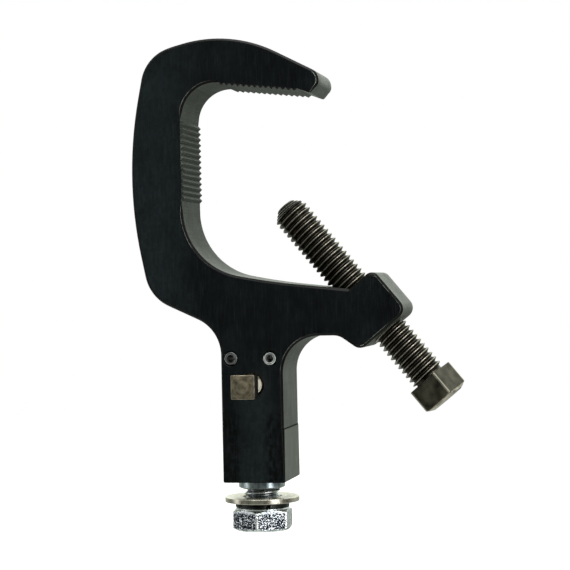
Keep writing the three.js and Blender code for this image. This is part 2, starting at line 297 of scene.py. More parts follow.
def body_shape():
    """The outline drawn out to the body's thickness, with its sawn edges rounded, and no holes."""
    sag, nearest = 0.012, 0.02
    points = rounded(body_corners(), sag)
    points = [p for p, q in zip(points, points[1:] + points[:1]) if math.dist(p[:2], q[:2]) > nearest]
    flat = np.array([p[:2] for p in points])
    edge = np.array([p[2] for p in points])
    ahead = np.roll(flat, -1, 0) - flat
    ahead /= np.linalg.norm(ahead, axis=1)[:, None]
    inward = np.stack([-ahead[:, 1], ahead[:, 0]], 1)
    previous = np.roll(inward, 1, 0)
    mitre = (inward + previous) / (1 + (inward * previous).sum(1))[:, None]
    half = THICKNESS / 2
    vertices = []
    for side in (-1, 1):
        for inset, depth in EDGE_PROFILE[::-side]:
            outline = flat + mitre * (edge * inset)[:, None]
            y = side * (half - edge * depth)
            vertices += [(p[0], q, p[1]) for p, q in zip(outline, y)]
    n, rings = len(points), 2 * len(EDGE_PROFILE)
    faces = tube_faces(rings, n)
    faces += [tuple(range(n)), tuple(range((rings - 1) * n, rings * n))]
    return make("clamp_body_look", vertices, faces)


# ---- Axes that pieces are modelled about ----

BOLT_AXIS = Matrix.Translation((by_bolt(0, 0)[0], 0, by_bolt(0, 0)[1])) @ Matrix.Rotation(
    math.pi / 2 + BOLT_SLOPE, 4, "Y")
STEM_AXIS = Matrix.Translation((STEM_X, 0, 0))


def front_axis(x, z):
    """Its -Z end is at the front."""
    return Matrix.Translation((x, 0, z)) @ Matrix.Rotation(-math.pi / 2, 4, "X")


LOCK_AXIS = front_axis(STEM_X, LOCK_Z)


def move(thing, axis):
    """Turns and moves a mesh in metres from Z to its axis, which is in millimetres."""
    moved = axis.copy()
    moved.translation = axis.translation * MM
    thing.data.transform(moved)
    return thing


# ---- Threads and heads ----

def helix(radius, pitch, low, high, segments=64):
    """A closed right-hand 60 degree thread about Z, from low to at least high."""
    depth = 0.6 * pitch
    profile = [(-0.07, 0.03), (-0.045, 0), (0.045, 0), (0.07, 0.03),
               (0.39, 0.93), (0.45, 1), (0.55, 1), (0.61, 0.93)]  # shares of (pitch, depth)
    per_turn = len(profile)
    turns = math.ceil((high - low) / pitch) + 2
    vertices = []
    for t in range(turns):
        for phase, share in profile:
            for i in range(segments):
                a = 2 * math.pi * i / segments
                r = radius - share * depth
                z = low + pitch * (t - 1 + phase + i / segments)
                vertices.append((r * math.cos(a), r * math.sin(a), z))
    rows = turns * per_turn
    faces = []
    for j in range(rows):
        for i in range(segments):
            k, up = (i + 1, 0) if i + 1 < segments else (0, per_turn)
            if j + 1 + up < rows:
                faces.append((j * segments + i, (j + up) * segments + k,
                              (j + 1 + up) * segments + k, (j + 1) * segments + i))
    last = rows - 1
    bottom = list(range(segments)) + [j * segments for j in range(per_turn, 0, -1)]
    top = [(last - per_turn) * segments + i for i in range(segments)]
    top += [j * segments for j in range(last, last - per_turn, -1)]
    for loop, z in ((bottom, low - 2 * pitch), (top, low + (turns + 1) * pitch)):
        vertices.append((0, 0, z))
        faces += [(loop[i], loop[(i + 1) % len(loop)], len(vertices) - 1) for i in range(len(loop))]
    return vertices, faces


def prism_radius(angle, sides, across_flats, corner, turn):
    """How far a prism with rounded corners reaches at an angle. A flat faces that turn."""
    apothem, step = across_flats / 2, 2 * math.pi / sides
    off_flat = abs((angle - turn + step / 2) % step - step / 2)
    inner = (apothem - corner) * math.tan(step / 2)
    if off_flat <= math.atan2(inner, apothem):
        return apothem / math.cos(off_flat)
    out = (apothem - corner) / math.cos(step / 2)
    e = step / 2 - off_flat
    return out * math.cos(e) + math.sqrt(max(corner**2 - (out * math.sin(e))**2, 0))


def soft_min(a, b, blend):
    h = max(blend - abs(a - b), 0) / blend
    return min(a, b) - h * h * blend / 4


def head_rows(across, sides, corner, turn, low, high, edge, low_cone=None, high_cone=None):
    """Rows of a head from low to high.

    A cone, as (radius at the face, radius out, depth), chamfers its corners.
    """
    edge_steps, side_steps, blend = 4, 18, 0.3
    rounding = [math.pi / 2 * k / edge_steps for k in range(edge_steps + 1)]
    levels = [(low + edge * (1 - math.cos(a)), edge * (1 - math.sin(a))) for a in rounding]
    levels += [(low + edge + (high - low - 2 * edge) * k / side_steps, 0) for k in range(1, side_steps)]
    levels += [(high - edge * (1 - math.cos(a)), edge * (1 - math.sin(a))) for a in rounding[::-1]]

    def limit(z):
        most = 1e3
        if low_cone:
            face, out, depth = low_cone
            most = min(most, face + (out - face) * (z - low) / depth)
        if high_cone:
            face, out, depth = high_cone
            most = min(most, face + (out - face) * (high - z) / depth)
        return most

    return [lambda a, z=z, inset=inset: (
        soft_min(prism_radius(a, sides, across, corner, turn) - inset, limit(z), blend), z)
        for z, inset in levels]


def head_angles(sides, turn):
    """Angles that crowd together at a prism's corners."""
    step, corner_share, flat_steps, corner_steps = 2 * math.pi / sides, 0.12, 16, 10
    across = [(-0.5 + corner_share) + (1 - 2 * corner_share) * k / flat_steps for k in range(flat_steps + 1)]
    corner = [0.5 - corner_share + 2 * corner_share * k / corner_steps for k in range(1, corner_steps)]
    return [turn + step * (s + f) for s in range(sides) for f in across + corner]


# ---- Nodes ----

def shader(name, **values):
    material = bpy.data.materials.new(name)
    material.use_nodes = True
    tree = material.node_tree
    surface = tree.nodes["Principled BSDF"]
    for key, value in values.items():
        surface.inputs[key.replace("_", " ")].default_value = value
    return material, tree, surface


def node(tree, kind, inputs=(), **settings):
    """A new node. An input that is a socket is linked, any other is set, and None is left alone."""
    made = tree.nodes.new("ShaderNode" + kind)
    for key, value in settings.items():
        setattr(made, key, value)
    items = inputs.items() if isinstance(inputs, dict) else enumerate(inputs)
    for key, value in items:
        if isinstance(value, bpy.types.NodeSocket):
            tree.links.new(value, made.inputs[key])
        elif value is not None:
            made.inputs[key].default_value = value
    return made


def link(tree, surface, **sockets):
    for key, value in sockets.items():
        tree.links.new(value, surface.inputs[key.replace("_", " ")])


def place(tree, scale=(1, 1, 1), axis=None):
    """Object coordinates, scaled. With an axis, they are those of the piece about its own Z."""
    where = node(tree, "TexCoord").outputs["Object"]
    if axis is not None:
        back = axis.inverted()
        where = node(tree, "Mapping", [where, back.translation * MM, back.to_euler()]).outputs[0]
    return node(tree, "Mapping", {0: where, "Scale": scale}).outputs[0]


def in_millimetres(tree, axis=None):
    """The x, y and z of a point."""
    return node(tree, "SeparateXYZ", [place(tree, (1 / MM,) * 3, axis)]).outputs


def normal_parts(tree):
    return node(tree, "SeparateXYZ", [node(tree, "TexCoord").outputs["Normal"]]).outputs


def noise(tree, where, scale=1.0, detail=3.0, rough=0.55):
    made = node(tree, "TexNoise", {"Vector": where, "Scale": scale, "Detail": detail, "Roughness": rough})
    return made.outputs["Fac"]


def spread(tree, value, low, high, to_low=0.0, to_high=1.0, smooth=False):
    """Takes low to to_low and high to to_high, and stays level outside them."""
    kind = "SMOOTHSTEP" if smooth else "LINEAR"
    made = node(tree, "MapRange", [value, low, high, to_low, to_high], interpolation_type=kind)
    return made.outputs[0]


def maths(tree, operation, a, b=None):
    return node(tree, "Math", [a, b], operation=operation).outputs[0]


def times(tree, *values):
    product = values[0]
    for value in values[1:]:
        product = maths(tree, "MULTIPLY", product, value)
    return product


def inverse(tree, value):
    return maths(tree, "SUBTRACT", 1.0, value)


def between(tree, value, low, high):
    return times(tree, maths(tree, "GREATER_THAN", value, low), maths(tree, "LESS_THAN", value, high))


def mixed(tree, share, a, b):
    """Colour b over colour a."""
    made = node(tree, "Mix", data_type="RGBA")
    for key, value in ((0, share), (6, a), (7, b)):
        if isinstance(value, bpy.types.NodeSocket):
            tree.links.new(value, made.inputs[key])
        else:
            made.inputs[key].default_value = (*value, 1)
    return made.outputs[2]


def mixed_value(tree, share, a, b):
    return node(tree, "Mix", {0: share, 2: a, 3: b}, data_type="FLOAT").outputs[0]


def bump(tree, height, distance, strength, under=None):
    made = node(tree, "Bump", {"Height": height, "Distance": distance, "Strength": strength})
    if under is not None:
        tree.links.new(under, made.inputs["Normal"])
    return made.outputs[0]


def edge_mask(tree, radius):
    """Near 1 on edges, from how much a bevelled normal leans away from the true one."""
    sharpness = 0.25
    soft = node(tree, "Bevel", {"Radius": radius}, samples=6).outputs[0]
    hard = node(tree, "NewGeometry").outputs["Normal"]
    same = node(tree, "VectorMath", [soft, hard], operation="DOT_PRODUCT").outputs["Value"]
    return spread(tree, same, 1.0, 1.0 - sharpness)


# ---- The anodised body ----

def face_paint(tree, grain, spot):
    """The brushed front and back: clouded, worn grey at the hook and stem, blotched and scratched."""
    aside = maths(tree, "ABSOLUTE", maths(tree, "SUBTRACT", spot[0], STEM_X))
    low = spread(tree, spot[2], -78.0, -90.0, smooth=True)
    beside_middle = spread(tree, aside, 2.5, 6.5, smooth=True)
    blotched = maths(tree, "MAXIMUM", times(tree, beside_middle, low), 0.3)
    worn_hook = spread(tree, spot[0], -12.0, -38.0, smooth=True)
    worn_stem = times(tree, spread(tree, spot[2], -60.0, -74.0, smooth=True), spread(tree, aside, 8.5, 3.0))
    worn = times(tree, maths(tree, "MAXIMUM", worn_hook, worn_stem),
                 spread(tree, grain.cloud, 0.3, 0.55, 0.45, 0.9))
    colour = mixed(tree, spread(tree, grain.cloud, 0.36, 0.64), FACE_DARK, FACE_LIGHT)
    colour = mixed(tree, worn, colour, FACE_WORN)
    colour = mixed(tree, times(tree, spread(tree, grain.mottle, 0.46, 0.51), blotched), colour, FACE_BLOTCH)
    colour = mixed(tree, spread(tree, grain.brushed, 0.5, 0.8, 0, 0.55), colour, FACE_SCRATCH)
    return mixed(tree, spread(tree, grain.streaks, 0.5, 0.75, 0, 0.25), colour, FACE_BLOTCH)


def stem_step(tree, normal, spot):
    """The lighter foot on the stem's right side, and the dark line above it."""
    on_right = spread(tree, normal[0], 0.3, 0.6)
    foot = times(tree, spread(tree, spot[2], STEM_STEP_Z + 0.1, STEM_STEP_Z - 0.1), on_right)
    line = times(tree, spread(tree, spot[2], STEM_STEP_Z - 0.2, STEM_STEP_Z),
                 spread(tree, spot[2], STEM_STEP_Z + 0.45, STEM_STEP_Z + 0.2), on_right)
    return foot, line


def side_paint(tree, grain, foot, line):
    """The satin sides, drawn along the body's thickness, in lighter colours than the front: a painted sheen.
    """
    drawn = spread(tree, grain.drawn, 0.3, 0.75)
    colour = mixed(tree, drawn, SIDE_DARK, SIDE_LIGHT)
    colour = mixed(tree, foot, colour, mixed(tree, drawn, FOOT_DARK, FOOT_LIGHT))
    return mixed(tree, line, colour, RIM_BLACK)


def painted_edge_highlight_mask(tree, grain, normal, spot, facing):
    """A broken painted highlight on sawn edges that face right, but not on level ones or low on the stem."""
    on_edge = times(tree, spread(tree, facing, 0.84, 0.92), spread(tree, facing, 0.995, 0.97))
    to_right = times(tree, spread(tree, normal[0], 0.015, 0.08), spread(tree, spot[2], -76.0, -63.0))
    least = 0.001  # keeps the division sound
    run = maths(tree, "MAXIMUM", maths(tree, "ABSOLUTE", normal[0]), least)
    slope = maths(tree, "DIVIDE", normal[2], run)
    to_right = times(tree, to_right, spread(tree, slope, 1.7, 1.1))
    patchy = times(tree, spread(tree, grain.cloud, 0.36, 0.56),
                   spread(tree, grain.mottle, 0.38, 0.56, 0.2, 1.0))
    return times(tree, on_edge, times(tree, to_right, patchy))


def anodised_material():
    """Black anodised aluminium: brushed front and back, satin drawn sides with a painted sheen, black sawn
    edges, and a painted highlight on some of them.
    """
    material, tree, surface = shader("black_anodised", Metallic=0.0, IOR=1.5, Specular_IOR_Level=0.13)
    normal, spot = normal_parts(tree), in_millimetres(tree)
    grain = SimpleNamespace(
        brushed=noise(tree, place(tree, (2600, 700, 130)), 1.0, 4.0, 0.65),
        streaks=noise(tree, place(tree, (700, 300, 40)), 1.0, 3.0, 0.6),
        drawn=noise(tree, place(tree, (2400, 50, 2400)), 1.0, 3.0, 0.6),
        cloud=noise(tree, place(tree, (1, 1, 0.7)), 75, 4.0, 0.6),
        mottle=noise(tree, place(tree, (1, 1, 0.75)), 760, 4.0, 0.6),
        fine=noise(tree, place(tree), 6500, 2.0, 0.5),
    )
    facing = maths(tree, "ABSOLUTE", normal[1])
    on_face = spread(tree, facing, 0.97, 0.999)
    off_face = inverse(tree, on_face)
    on_rim = times(tree, spread(tree, facing, 0.12, 0.3), off_face)
    foot, line = stem_step(tree, normal, spot)
    # The sides' lighter colours are a painted sheen.
    colour = mixed(tree, on_face, side_paint(tree, grain, foot, line), face_paint(tree, grain, spot))
    colour = mixed(tree, on_rim, colour, RIM_BLACK)
    # Painted highlight along the sawn edges that face right.
    colour = mixed(tree, painted_edge_highlight_mask(tree, grain, normal, spot, facing), colour, PAINTED_EDGE_HIGHLIGHT)
    rough = maths(tree, "ADD", spread(tree, grain.cloud, 0.3, 0.7, 0.34, 0.44),
                  spread(tree, grain.brushed, 0.3, 0.7, -0.05, 0.06))
    dull_wall = times(tree, spread(tree, spot[2], -48.0, -25.0, 0, 0.19), spread(tree, spot[0], -7.0, -13.0))
    dull = maths(tree, "MAXIMUM", dull_wall, times(tree, line, 0.5))
    rough = maths(tree, "ADD", rough, times(tree, dull, off_face))
    shape = bump(tree, times(tree, grain.brushed, on_face), 0.00004, 0.6)
    shape = bump(tree, times(tree, grain.drawn, off_face), 0.00004, 0.6, shape)
    shape = bump(tree, grain.fine, 0.00001, 0.5, shape)
    link(tree, surface, Base_Color=colour, Roughness=rough, Normal=shape)
    return material


# ---- The steel pieces ----

def shaded(colour, share):
    return tuple(share * c for c in colour)


class Steel:
    """Plated or oxidised steel: dark to light in patches, and worn bright on its edges.

    Each method adds a feature to the worn and highlighted places, colour or bump so far. Heights
    and radii are millimetres along the piece's own axis and out from it. Worn places and painted highlights
    show from rub() on.
    """

    def __init__(self, name, dark, light, worn, rough, axis, grain=1.0, edge=0.35, metallic=1.0):
        self.material, self.tree, self.surface = shader(name, Metallic=metallic)
        # The worn colour also paints highlights on thread crests, a reflection along thread roots and a
        # highlight on a lock screw's neck.
        self.dark, self.worn, self.metallic = dark, worn, metallic
        tree, where = self.tree, place(self.tree)
        self.patch = noise(tree, where, 260 * grain, 5.0, 0.62)
        self.fine = noise(tree, where, 2600 * grain, 4.0, 0.6)
        self.normal = normal_parts(tree)
        x, y, self.height = in_millimetres(tree, axis)
        self.radius = node(tree, "VectorMath", [node(tree, "CombineXYZ", [x, y, 0.0]).outputs[0]],
                           operation="LENGTH").outputs["Value"]
        self.colour = mixed(tree, spread(tree, self.patch, 0.34, 0.66), dark, light)
        self.gloss = spread(tree, self.patch, 0.3, 0.7, rough - 0.07, rough + 0.09)
        self.shape = bump(tree, self.fine, 0.00002, 0.5)
        self.wear_and_highlight = times(tree, edge_mask(tree, edge * MM), spread(tree, self.patch, 0.3, 0.55, 0.35, 1.0))

    def wear_corners(self, radius):
        worn = spread(self.tree, self.radius, radius, radius + 0.3)
        self.wear_and_highlight = maths(self.tree, "MAXIMUM", self.wear_and_highlight, worn)

    def wear_end(self, height):
        """A head's end, rubbed in patches."""
        worn = times(self.tree, spread(self.tree, self.height, height, height + 0.3, 0, 0.8),
                     spread(self.tree, self.patch, 0.3, 0.5, 0.3, 1.0))
        self.wear_and_highlight = maths(self.tree, "MAXIMUM", self.wear_and_highlight, worn)

    def thread(self, low, high):
        """Crests worn bright and painted as highlights, painted shade on the flanks, and a faint painted
        reflection along the root that stops short of the end.
        """
        tree, radius, plain_end = self.tree, self.radius, 3.0
        shank = between(tree, self.height, low, high)
        # The crests are worn bright and painted as highlights.
        crest = times(tree, spread(tree, radius, THREAD_RADIUS - 0.24, THREAD_RADIUS - 0.02),
                      spread(tree, self.fine, 0.35, 0.6, 0.4, 1.0))
        crest = maths(tree, "MAXIMUM", crest, times(tree, self.wear_and_highlight, 0.6))
        self.wear_and_highlight = mixed_value(tree, shank, self.wear_and_highlight, crest)
        # Painted shade on the flanks.
        flank_shade = times(tree, spread(tree, radius, THREAD_RADIUS - 0.5, THREAD_RADIUS - 1.1), shank)
        self.colour = mixed(tree, flank_shade, self.colour, shaded(self.dark, 0.3))
        shank = times(tree, shank, maths(tree, "LESS_THAN", self.height, high - plain_end))
        # A faint painted reflection along the root, in the worn colour.
        root = times(tree, spread(tree, radius, THREAD_RADIUS - 0.98, THREAD_RADIUS - 1.1, 0, 0.09), shank)
        self.colour = mixed(tree, root, self.colour, self.worn)

    def flecks_and_side_shade(self, scale, low, high):
        """Black specks between two heights: most on the left, where they paint shade over the faces, and few
        on the far right.
        """
        tree, across, fade = self.tree, self.normal[0], 0.6
        speck = noise(tree, place(tree, (1, 1, 1.6)), scale, 2.0, 0.5)
        self.shape = bump(tree, speck, 0.0002, 0.8, self.shape)
        # The left faces are mostly covered, which paints shade on them.
        specked_and_shaded = mixed_value(tree, spread(tree, across, 0.1, -0.1),
                              spread(tree, speck, 0.445, 0.475), spread(tree, speck, 0.57, 0.55))
        kept = times(tree, spread(tree, across, 0.8, 0.95, 1.0, 0.1),
                     spread(tree, self.height, low, low + fade, 0.1, 1.0),
                     spread(tree, self.height, high, high - fade, 0.1, 1.0))
        self.colour = mixed(tree, times(tree, specked_and_shaded, kept), self.colour, FLECK_AND_SHADE_BLACK)

    def rings(self, scale, strength=0.5):
        """Marks of turning, round the axis. The scale is the noise's, for metres."""
        tree = self.tree
        ring_noise = noise(tree, node(tree, "CombineXYZ", [self.radius, 0.0, 0.0]).outputs[0],
                           scale * MM, 2.0, 0.5)
        self.shape = bump(tree, ring_noise, 0.00003, 0.5 * strength, self.shape)
        self.colour = mixed(tree, spread(tree, ring_noise, 0.35, 0.65, 0, strength), self.colour, self.worn)

    def paint_core_shade(self, radius):
        # The hollow core of a pin, painted in shade.
        inside = spread(self.tree, self.radius, radius + 0.25, radius - 0.05)
        self.colour = mixed(self.tree, inside, self.colour, shaded(self.dark, 0.1))

    def rub_and_highlight(self):
        # Paints the worn colour over worn places and, after thread(), over painted crest highlights.
        self.colour = mixed(self.tree, self.wear_and_highlight, self.colour, self.worn)

    def highlight_neck(self, low, high):
        """A painted highlight between two heights: the worn colour, dull and less metallic, but not
        underneath the head.
        """
        tree = self.tree
        neck_glint = times(tree, between(tree, self.height, low, high), spread(tree, self.normal[2], 0.8, 0.5),
                     spread(tree, self.patch, 0.3, 0.5, 0.55, 1.0))
        # Painted highlight on the neck.
        self.colour = mixed(tree, neck_glint, self.colour, self.worn)
        self.gloss = mixed_value(tree, neck_glint, self.gloss, 0.5)
        link(tree, self.surface, Metallic=mixed_value(tree, neck_glint, self.metallic, 0.35))

    def paint_flank_shade(self, high):
        """Painted shade on the faces round a head, below a height, that don't face front or back."""
        tree = self.tree
        facing = maths(tree, "ABSOLUTE", self.normal[1])
        flank_shade = times(tree, spread(tree, facing, 0.5, 0.2), maths(tree, "LESS_THAN", self.height, high))
        tone = mixed(tree, spread(tree, self.patch, 0.35, 0.6),
                     shaded(self.dark, 0.06), shaded(self.dark, 0.3))
        self.colour = mixed(tree, flank_shade, self.colour, tone)

    def finish(self):
        link(self.tree, self.surface, Base_Color=self.colour, Roughness=self.gloss, Normal=self.shape)
        return self.material


def black_oxide():
    steel = Steel("black_oxide", (0.024, 0.021, 0.015), (0.104, 0.094, 0.073), (0.50, 0.46, 0.39), 0.38,
                  BOLT_AXIS, edge=0.2)
    steel.wear_corners(8.1)
    steel.wear_end(BOLT_UNDER_HEAD + 8.4)
    steel.thread(0, BOLT_UNDER_HEAD - 0.5)
    steel.rub_and_highlight()
    return steel.finish()


def bright_zinc():
    steel = Steel("bright_zinc", (0.17, 0.215, 0.24), (0.68, 0.76, 0.79), (0.88, 0.90, 0.90), 0.33, STEM_AXIS)
    steel.rub_and_highlight()
    return steel.finish()


def spring_steel(side):
    # The left pin's colours are painted in shade, at 0.3 of the right pin's.
    shade = 0.3 if side == "left" else 1.0
    dark, light, worn = (shaded(grey, shade) for grey in (
        (0.30, 0.32, 0.32), (0.86, 0.9, 0.9), (0.95, 0.97, 0.97)))
    steel = Steel("spring_steel_" + side, dark, light, worn, 0.34, front_axis(PIN_XS[side], PIN_Z),
                  edge=0.12, metallic=0.5)
    steel.paint_core_shade(1.28)
    steel.rub_and_highlight()
    return steel.finish()


def bronzed_steel():
    steel = Steel("bronzed_steel", (0.075, 0.055, 0.032), (0.42, 0.345, 0.225), (0.85, 0.78, 0.66), 0.36,
                  LOCK_AXIS, edge=0.24, grain=1.9)
    steel.rings(900, 0.3)
    steel.rub_and_highlight()
    steel.highlight_neck(LOCK_UNDER_HEAD + 0.1, LOCK_UNDER_HEAD + 8.7)
    steel.paint_flank_shade(LOCK_UNDER_HEAD - 0.05)
    return steel.finish()


def zinc():
    steel = Steel("zinc", (0.40, 0.44, 0.47), (0.72, 0.76, 0.78), (0.93, 0.95, 0.95), 0.24, STEM_AXIS)
    steel.wear_corners(10.45)
    steel.thread(HEX_TOP + 0.3, HEX_TOP + 33)
    steel.flecks_and_side_shade(1600, HEX_TOP - 7.1, HEX_TOP - 1.1)
    steel.rub_and_highlight()
    return steel.finish()


def aged_zinc():
    steel = Steel("aged_zinc", (0.24, 0.215, 0.16), (0.56, 0.52, 0.42), (0.93, 0.90, 0.82), 0.3, STEM_AXIS,
                  grain=2.0)
    steel.rings(700)
    steel.rub_and_highlight()
    return steel.finish()


def dark_spring_steel():
    steel = Steel("dark_spring_steel", (0.012, 0.013, 0.012), (0.05, 0.055, 0.05), (0.22, 0.23, 0.21), 0.4,
                  STEM_AXIS)
    steel.rub_and_highlight()
    return steel.finish()


# ---- Pieces ----

def clamp_body():
    half, segments, past = THICKNESS / 2, 96, 1
    bolt_hole, chamfer, in_jaw = 6.32, 0.5, 40
    spud_hole, spud_hole_top = 8.08, -58.6
    lock_hole, pin_hole = 4.0, 2.5
    for_bolt = lathe("bolt_hole", [
        (0, in_jaw), (bolt_hole, in_jaw), (bolt_hole, BOSS_END - chamfer),
        (bolt_hole + chamfer + past, BOSS_END + past), (0, BOSS_END + past)], segments, BOLT_AXIS)
    for_spud = lathe("bore", [
        (0, spud_hole_top), (spud_hole, spud_hole_top), (spud_hole, STEM_BOTTOM + 0.4),
        (spud_hole + 1.4, STEM_BOTTOM - past), (0, STEM_BOTTOM - past)], segments, STEM_AXIS)
    for_lock = lathe("lock_hole", [
        (0, -half - past), (lock_hole + 0.9, -half - past), (lock_hole, -half + 0.35),
        (lock_hole, 0), (0, 0)], 64, LOCK_AXIS)
    profile = [(0, -half - past), (pin_hole + 1.2, -half - past), (pin_hole, -half + 0.2),
               (pin_hole, half - 0.2), (pin_hole + 1.2, half + past), (0, half + past)]
    for_pins = [lathe("pin_hole", profile, 64, front_axis(x, PIN_Z)) for x in PIN_XS.values()]
    return combine(body_shape(), "DIFFERENCE", for_bolt, for_spud, for_lock, *for_pins)


def pipe_bolt():
    tip, under, radius = BOLT_TIP, BOLT_UNDER_HEAD, THREAD_RADIUS
    top = under + BOLT_HEAD_HEIGHT
    turn = math.radians(25 - 90)
    point_radius, point_length, ring_pitch = 3.25, 3.1, 0.8
    cone = []
    for step in range(3):
        z = tip + 0.75 + ring_pitch * step
        r = point_radius + (radius - point_radius) * (z - tip - 0.35) / (point_length - 0.35)
        cone += [(r, z - 0.22), (r - 0.2, z), (r + 0.16, z + 0.16)]
    blank = lathe("blank", [
        (0, tip - 0.25), (1.8, tip - 0.2), *arc((2.9, tip + 0.5), 0.5, 270, 315, 3), *cone,
        (radius, tip + point_length), (radius + 1, tip + point_length + 0.01),
        (radius + 1, under - 1.2), (5.2, under - 1.2 + 0.5), (0, under - 0.7)])
    vertices, faces = helix(radius, THREAD_PITCH, tip - 1, under + 1)
    shank = combine(make("pipe_bolt_look", vertices, faces), "INTERSECT", blank)
    rows = [ring(0, under - 2.4), ring(5.1, under - 2.4), ring(5.1, under - 0.3), ring(5.4, under)]
    corner = BOLT_HEAD_ACROSS / math.sqrt(2)
    rows += head_rows(BOLT_HEAD_ACROSS, 4, 0.3, turn, under, top, 0.25, high_cone=(5.75, corner, 1.3))
    rows += [ring(5.0, top), ring(0, top)]
    head = gridded("head", rows, head_angles(4, turn))
    return move(combine(shank, "UNION", head), BOLT_AXIS)


def swivel_spud():
    r, bottom, top = 7.94, STEM_BOTTOM - 2.9, -60
    groove, groove_radius = 2.7, 3.6
    hole = 6.3
    return lathe("swivel_spud_look", [
        (0, -81.7), (hole, -83.5), (hole, bottom + 0.5), (hole + 0.5, bottom), (r - 1.2, bottom),
        *arc((r - 1.1, bottom + 0.15), 0.15, 270, 300, 2), *arc((r - 0.25, bottom + 0.6), 0.25, 330, 360, 2),
        (r, PIN_Z - groove), (groove_radius, PIN_Z - groove),
        (groove_radius, PIN_Z + groove), (r, PIN_Z + groove),
        (r, top - 0.8), (r - 0.8, top), (0, top)], matrix=STEM_AXIS)


def retaining_pin(side):
    """A strip rolled up from its outer end inwards, with its two ends swaged."""
    outer, strip, gap, turns, steps_a_turn, half = 2.38, 0.31, 0.21, 2.2, 40, THICKNESS / 2
    steps = int(turns * steps_a_turn)
    start = math.radians(60 if side == "left" else 200)
    walls = []
    for inward in (0, 1):
        wall = []
        for k in range(steps + 1):
            a = 2 * math.pi * turns * k / steps
            wall.append((start - a, outer - (strip + gap) * a / (2 * math.pi) - strip * inward))
        walls.append(wall)
    section = walls[0] + walls[1][::-1]
    levels = [(-half, 0.3), (-half + 0.08, 0.2), (-half + 0.6, 0),
              (half - 0.6, 0), (half - 0.08, 0.2), (half, 0.3)]  # (z, how far the end is swaged in)
    vertices = []
    for z, swage in levels:
        for a, r in section:
            r = min(r, outer - swage)
            vertices.append((r * math.cos(a), r * math.sin(a), z))
    n = len(section)
    faces = tube_faces(len(levels), n)
    top = (len(levels) - 1) * n
    for k in range(steps):
        for base in (0, top):
            faces.append((base + k, base + k + 1, base + n - 2 - k, base + n - 1 - k))
    return make(f"retaining_pin_{side}_look", vertices, faces, front_axis(PIN_XS[side], PIN_Z))


def lock_screw():
    across, radius, pitch, end, under = 7.94, 3.85, 25.4 / 18, LOCK_END, LOCK_UNDER_HEAD
    point = under + 12.4
    neck, core, smooth = 3.4, 2.9, under + 8.4
    blank = lathe("blank", [
        (0, smooth - 1), (core, smooth - 1), (core, smooth - 0.2), (radius + 1, smooth + 0.6),
        (radius + 1, point - 1.1), (radius - 0.9, point), (0, point)], 64)
    vertices, faces = helix(radius, pitch, under + 5, point + 1, 48)
    shank = combine(make("lock_screw_look", vertices, faces), "INTERSECT", blank)
    rows = [ring(0, end), ring(2.5, end)]
    rows += head_rows(across, 4, 0.22, 0, end, under, 0.16)
    rows += [ring(neck + 0.3, under), ring(neck, under + 0.3), ring(neck, smooth - 0.3),
             ring(neck - 0.3, smooth), ring(0, smooth)]
    head = gridded("head", rows, head_angles(4, 0))
    return move(combine(shank, "UNION", head), LOCK_AXIS)


def fixture_bolt():
    radius, bottom, tip = THREAD_RADIUS, HEX_TOP - HEX_HEIGHT, HEX_TOP + 31.75
    turn = math.radians(31.4 - 90)
    blank = lathe("blank", [
        (0, HEX_TOP - 1), (radius + 1, HEX_TOP - 1), (radius + 1, tip - 1.6), (radius - 1.3, tip), (0, tip)])
    vertices, faces = helix(radius, THREAD_PITCH, HEX_TOP - 2, tip + 1)
    shank = combine(make("fixture_bolt_look", vertices, faces), "INTERSECT", blank)
    corner = HEX_ACROSS / 2 / math.cos(math.pi / 6)
    face = HEX_TOP - 0.4  # the rest is a raised washer face
    rows = [ring(0, bottom + 0.15), ring(6.5, bottom + 0.15), ring(7.0, bottom)]
    rows += head_rows(HEX_ACROSS, 6, 0.3, turn, bottom, face, 0.25,
                      low_cone=(8.75, corner, 1.0), high_cone=(9.2, corner, 0.7))
    rows += [ring(9.1, face), ring(9.0, HEX_TOP), ring(5.2, HEX_TOP), ring(5.2, HEX_TOP + 0.6),
             ring(0, HEX_TOP + 0.6)]
    head = gridded("head", rows, head_angles(6, turn))
    return move(combine(shank, "UNION", head), STEM_AXIS)


def flat_washer():
    outer, inner, high = 12.7, 6.75, STEM_BOTTOM - 5.6
    low, e = high - 1.8, 0.4
    return lathe("flat_washer_look", [
        (inner, low + 0.15), (inner + 0.15, low), (outer - 0.2, low),
        *arc((outer - 0.2, low + 0.2), 0.2, 300, 360, 3), *arc((outer - e, high - e), e, 0, 90, 5),
        *arc((inner + e, high - e), e, 90, 180, 5)], 128, STEM_AXIS)


def lock_washer():
    """A split ring of square wire, with one end of the split sprung up."""
    inner, outer, low, thick, rise = 6.6, 9.2, HEX_TOP + 0.05, 1.6, 0.4
    gap, split, slant = 1.6, math.radians(-66), 0.35
    middle, e = (inner + outer) / 2, 0.18
    cx, cz = (outer - inner) / 2 - e, thick / 2 - e
    section = []
    for sx, sz, base in ((1, -1, 270), (1, 1, 0), (-1, 1, 90), (-1, -1, 180)):
        section += arc((sx * cx, sz * cz), e, base, base + 90, 3)
    steps, half_gap = 90, gap / 2 / middle
    vertices = []
    for k in range(steps + 1):
        share = k / steps
        a = half_gap + (2 * math.pi - 2 * half_gap) * share
        for x, z in section:
            lean = slant * z / middle  # the ends are sheared
            r, turn = middle + x, split + a + lean
            vertices.append((r * math.cos(turn), r * math.sin(turn), low + thick / 2 + z + rise * share))
    n = len(section)
    faces = tube_faces(steps + 1, n) + [tuple(range(n)), tuple(range(steps * n, steps * n + n))]
    return make("lock_washer_look", vertices, faces, STEM_AXIS)


